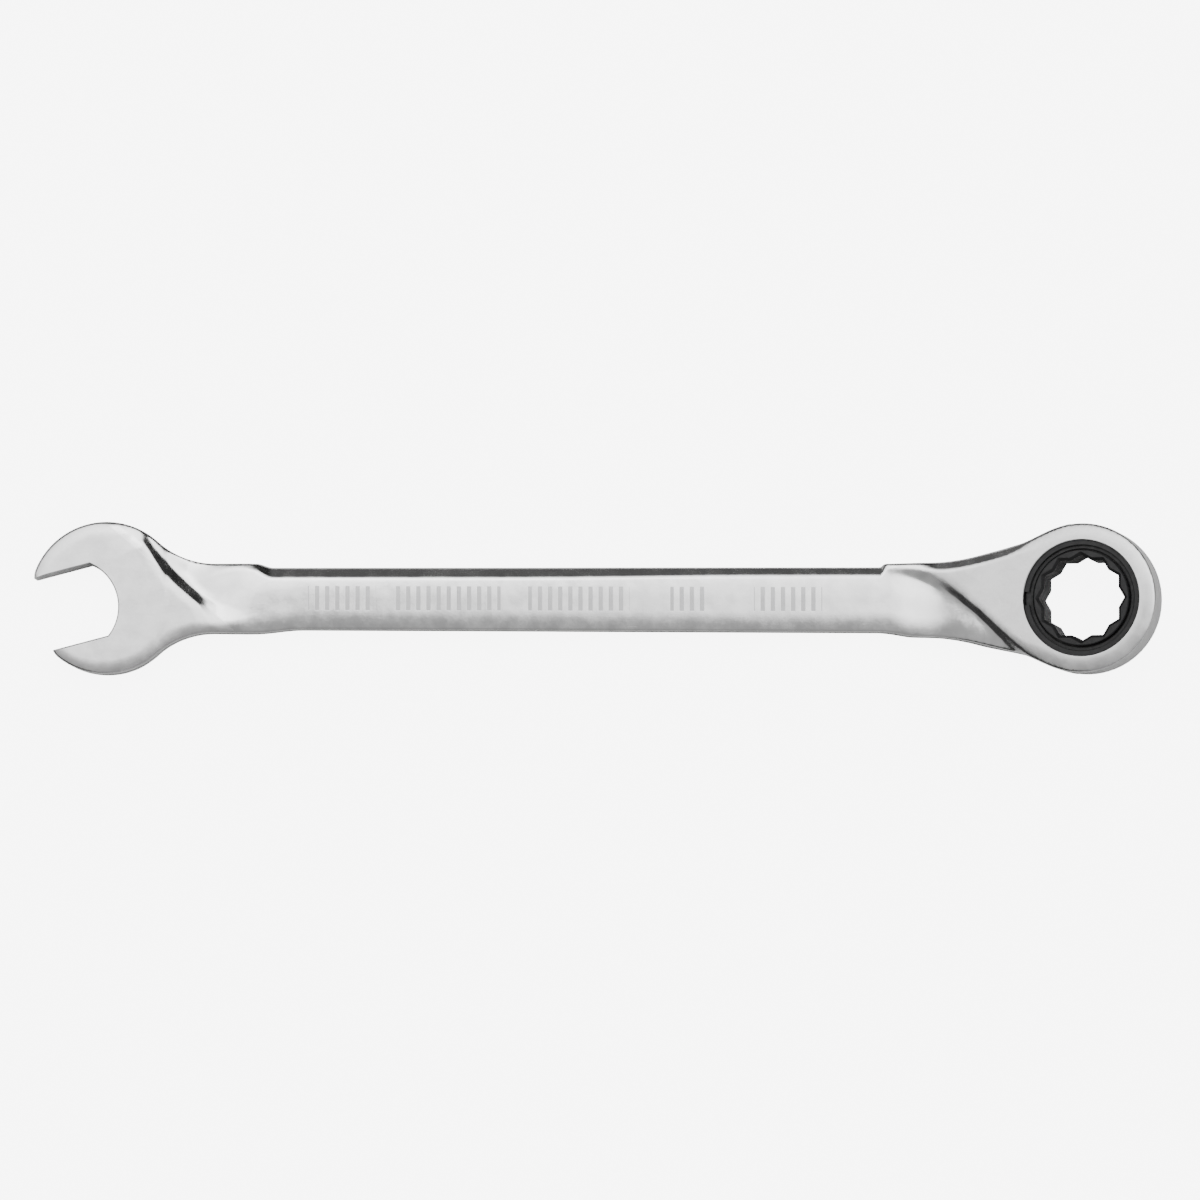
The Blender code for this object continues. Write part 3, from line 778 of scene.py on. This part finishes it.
def etched_bars(make, x, y, z):
    """Groups of short plain bars along the beam's front face."""
    groups = None
    for start, end in ETCHED_GROUPS:
        group = make.window(x, start, end, ETCHED_SOFT_ENDS)
        groups = group if groups is None else make.math("MAXIMUM", groups, group)
    wave = make.math("SINE", make.math("MULTIPLY", x, 2 * math.pi / ETCHED_PITCH))
    bars = make.math("MULTIPLY", groups, make.remap(wave, -0.1, 0.5, 0, 1))
    band = make.window(y, -ETCHED_HALF, ETCHED_HALF, ETCHED_SOFT_SIDES)
    front = make.remap(z, ETCHED_LOWEST_Z, ETCHED_HIGHEST_Z, 0, 1)
    return make.math("MULTIPLY", make.math("MULTIPLY", bars, band), front)


def chrome_material():
    """Satin heads and a more polished beam, with fine drawn grain, handling marks and etched bars."""
    make = Shader("satin_chrome", (0.75, 0.75, 0.755), 0.3, 1.0)
    x, y, z = make.axes()
    across = make.math("ADD", x, make.math("MULTIPLY", y, SATIN_SLANT))
    heads = make.math("MAXIMUM", make.remap(across, *SATIN_JAW, 1, 0), make.remap(across, *SATIN_BOX, 0, 1))
    satin = make.math("MULTIPLY", heads, make.remap(make.upright(), *SATIN_UPRIGHT, 0, 1))
    grain = make.noise((1500, 1500, 1500), 5)
    mottle = make.noise((230, 230, 230), 4)
    drawn = make.noise((60, 4200, 4200), 3)
    scratch = make.remap(make.noise((90, 2600, 2600), 2), 0.66, 0.74, 0, 1)
    etched = etched_bars(make, x, y, z)
    rough = make.remap(satin, 0, 1, 0.17, 0.33)
    for change in (
        make.remap(mottle, 0.3, 0.7, -0.035, 0.045),
        make.remap(grain, 0.3, 0.7, -0.03, 0.03),
        make.remap(scratch, 0, 1, 0, 0.08),
        make.remap(etched, 0, 1, 0, 0.2),
    ):
        rough = make.math("ADD", rough, change)
    make.link(rough, make.shader.inputs["Roughness"])
    tone = make.remap(mottle, 0.3, 0.7, 0.62, 1)
    tone = make.math("MULTIPLY", tone, make.remap(etched, 0, 1, 1, 0))
    make.colour(tone, (0.44, 0.44, 0.445), (0.79, 0.79, 0.79))
    coarse = make.math("MULTIPLY", make.remap(satin, 0, 1, 0.15, 1), grain)
    drawn_depth, coarse_depth, mottle_depth, etched_depth = 0.0000012, 0.00001, 0.00003, -0.000008
    make.bump([(drawn, drawn_depth), (coarse, coarse_depth), (mottle, mottle_depth), (etched, etched_depth)])
    return make.material


def black_material():
    """Black oxide on turned steel: near black, slightly mottled, with fine marks round the ring."""
    make = Shader("black_oxide", (0.012, 0.012, 0.013), 0.42, 0.0)
    make.shader.inputs["IOR"].default_value = 1.38
    mottle = make.noise((700, 700, 700), 4)
    fine = make.noise((5200, 5200, 5200), 3)
    make.colour(mottle, (0.007, 0.007, 0.0075), (0.018, 0.018, 0.019))
    make.link(make.remap(mottle, 0.3, 0.7, 0.3, 0.48), make.shader.inputs["Roughness"])
    make.bump([(fine, FINE_BUMP)])
    return make.material


def steel_material(name, low, high, roughness):
    """Plain worked steel with a little variation in colour and gloss."""
    make = Shader(name, low, roughness, 1.0)
    mottle = make.noise((900, 900, 900), 4)
    fine = make.noise((6000, 6000, 6000), 3)
    make.colour(mottle, low, high)
    varied = make.remap(mottle, 0.3, 0.7, roughness - 0.06, roughness + 0.08)
    make.link(varied, make.shader.inputs["Roughness"])
    make.bump([(fine, FINE_BUMP)])
    return make.material


def rubber_material():
    """Matt black rubber."""
    make = Shader("black_rubber", (0.015, 0.015, 0.015), 0.7, 0.0)
    fine = make.noise((4000, 4000, 4000), 3)
    make.colour(fine, (0.01, 0.01, 0.01), (0.025, 0.025, 0.025))
    make.link(make.remap(fine, 0.3, 0.7, 0.6, 0.8), make.shader.inputs["Roughness"])
    make.bump([(fine, 2 * FINE_BUMP)])
    return make.material


# ---------------------------------------------------------------- the object


def dress(obj, material, body, node):
    """Gives a piece its material, the body it moves with and the CAD node it stands for."""
    obj.data.materials.clear()
    obj.data.materials.append(material)
    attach(obj, body)
    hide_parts(node)


def dress_spring(obj, material):
    """Gives the spring its material, bakes its placement into its mesh and hides the CAD spring it stands
    for.
    """
    obj.data.materials.append(material)
    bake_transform(obj)
    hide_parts("pawl_spring")


def finish_node(name, material):
    """Keeps a CAD node's shape and gives it a worked material."""
    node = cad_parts[name]
    node.data.materials.clear()
    node.data.materials.append(material)
    node.data.shade_smooth()
    node.data.set_sharp_from_angle(angle=math.radians(35))


chrome = chrome_material()
black = black_material()
rubber = rubber_material()
pawl_steel = steel_material("hardened_steel", (0.13, 0.13, 0.14), (0.24, 0.24, 0.25), 0.36)
wire_steel = steel_material("spring_steel", (0.45, 0.45, 0.46), (0.6, 0.6, 0.6), 0.26)
# Near-black steel for the inside of the ring: painted shade in the bore, far darker than bare steel would be.
bore_shade_steel = steel_material("painted_bore_shade", (0.02, 0.02, 0.021), (0.045, 0.045, 0.045), 0.5)

body = make_body()
dress(body, chrome, "wrench", "wrench_body")
# The second slot holds the bore's painted shade.
body.data.materials.append(bore_shade_steel)
mark_bore(body.data, 1)
dress(make_gear(), black, "gear", "ratchet_gear")
dress(make_cover(), black, "wrench", "cover_plate")
dress(make_clip(), black, "wrench", "retaining_ring")
dress(make_seal(), rubber, "gear", "seal_ring")
finish_node("pawl", pawl_steel)
dress_spring(make_spring(), wire_steel)
finish_node("spring_guide_pin", wire_steel)


# ---------------------------------------------------------------- stage, light and camera

BACKDROP = 7.0
SKY_GREY = 0.6

# Lit and dark screens round the object: direction, degrees from it where the screen starts, degrees within
# which it is full, and how bright it is
SCREENS = [
    ((0.4, 0.42, 0.81), 44, 10, 4.0),
    ((0, -0.8, 0.6), 52, 15, 0.42),
    ((-0.3, 0.95, 0.1), 55, 35, 0.13),
    ((0.75, 0.65, 0.1), 50, 36, 0.03),
    ((-0.7, -0.72, 0.1), 45, 25, 0.05),
]


def make_floor():
    """Plain pale floor just under the wrench. It lights up to the camera only, so reflections see it grey."""
    mesh = bpy.data.meshes.new("floor")
    size, below = 3.0, 0.0002
    corners = [(-size, -size), (size, -size), (size, size), (-size, size)]
    mesh.from_pydata([(x, y, -below) for x, y in corners], [], [(0, 1, 2, 3)])
    make = Shader("pale_floor", (0.55, 0.55, 0.55), 0.9, 0.0)
    seen = make.tree.nodes.new("ShaderNodeLightPath").outputs["Is Camera Ray"]
    make.shader.inputs["Emission Color"].default_value = (1, 1, 1, 1)
    make.link(make.remap(seen, 0, 1, 0.0, BACKDROP), make.shader.inputs["Emission Strength"])
    mesh.materials.append(make.material)
    floor = bpy.data.objects.new("floor", mesh)
    bpy.context.scene.collection.objects.link(floor)


class Sky:
    """Studio surroundings: grey all round, with lit and dark screens."""

    def __init__(self):
        world = bpy.data.worlds.new("studio")
        bpy.context.scene.world = world
        world.use_nodes = True
        self.tree = world.node_tree
        self.background = self.tree.nodes["Background"]
        self.way = self.tree.nodes.new("ShaderNodeTexCoord").outputs["Generated"]

    def facing(self, direction, start, full):
        """1 where the sky lies towards a direction and 0 away from it."""
        dot = self.tree.nodes.new("ShaderNodeVectorMath")
        dot.operation = "DOT_PRODUCT"
        self.tree.links.new(self.way, dot.inputs[0])
        dot.inputs[1].default_value = Vector(direction).normalized()
        fade = self.tree.nodes.new("ShaderNodeMapRange")
        fade.interpolation_type = "SMOOTHSTEP"
        self.tree.links.new(dot.outputs["Value"], fade.inputs["Value"])
        fade.inputs["From Min"].default_value = math.cos(math.radians(start))
        fade.inputs["From Max"].default_value = math.cos(math.radians(full))
        return fade.outputs["Result"]

    def shade(self, colour, factor, grey):
        """The colour, moved towards a grey by the factor. No colour stands for the plain sky."""
        node = self.tree.nodes.new("ShaderNodeMix")
        node.data_type = "RGBA"
        self.tree.links.new(factor, node.inputs["Factor"])
        if colour is None:
            node.inputs["A"].default_value = (SKY_GREY, SKY_GREY, SKY_GREY, 1)
        else:
            self.tree.links.new(colour, node.inputs["A"])
        node.inputs["B"].default_value = (grey, grey, grey, 1)
        return node.outputs["Result"]


def make_sky():
    """The screens, one over another, and over them a plain pale backdrop that only the camera sees."""
    sky = Sky()
    colour = None
    for direction, start, full, grey in SCREENS:
        colour = sky.shade(colour, sky.facing(direction, start, full), grey)
    seen = sky.tree.nodes.new("ShaderNodeLightPath").outputs["Is Camera Ray"]
    sky.tree.links.new(sky.shade(colour, seen, BACKDROP), sky.background.inputs["Color"])


def make_lamp(name, energy, size, place, target):
    """Square area lamp of that size in metres, aimed at the target."""
    data = bpy.data.lights.new(name, "AREA")
    data.energy = energy
    data.size = size
    lamp = bpy.data.objects.new(name, data)
    bpy.context.scene.collection.objects.link(lamp)
    lamp.location = place
    lamp.rotation_mode = "QUATERNION"
    lamp.rotation_quaternion = (Vector(target) - Vector(place)).to_track_quat("-Z", "Y")


def make_camera():
    """Camera above the wrench, leaning a little towards its lower edge, with a slight roll."""
    data = bpy.data.cameras.new("camera")
    data.sensor_width = 36
    camera = bpy.data.objects.new("camera", data)
    bpy.context.scene.collection.objects.link(camera)
    distance = 1.25
    framed_width = 0.3085
    lean = math.radians(4)
    roll = 0.002
    target = Vector((0.0005, -0.0002, 0.007))
    camera.location = target + distance * Vector((0, -math.sin(lean), math.cos(lean)))
    camera.rotation_mode = "QUATERNION"
    aim = (target - camera.location).to_track_quat("-Z", "Y")
    camera.rotation_quaternion = aim @ Quaternion((0, 0, 1), roll)
    data.lens = data.sensor_width / framed_width * distance
    bpy.context.scene.camera = camera


make_floor()
make_sky()
make_lamp("key", energy=6.0, size=0.9, place=(-0.5, 0.5, 1.3), target=(0, 0, 0))
make_camera()
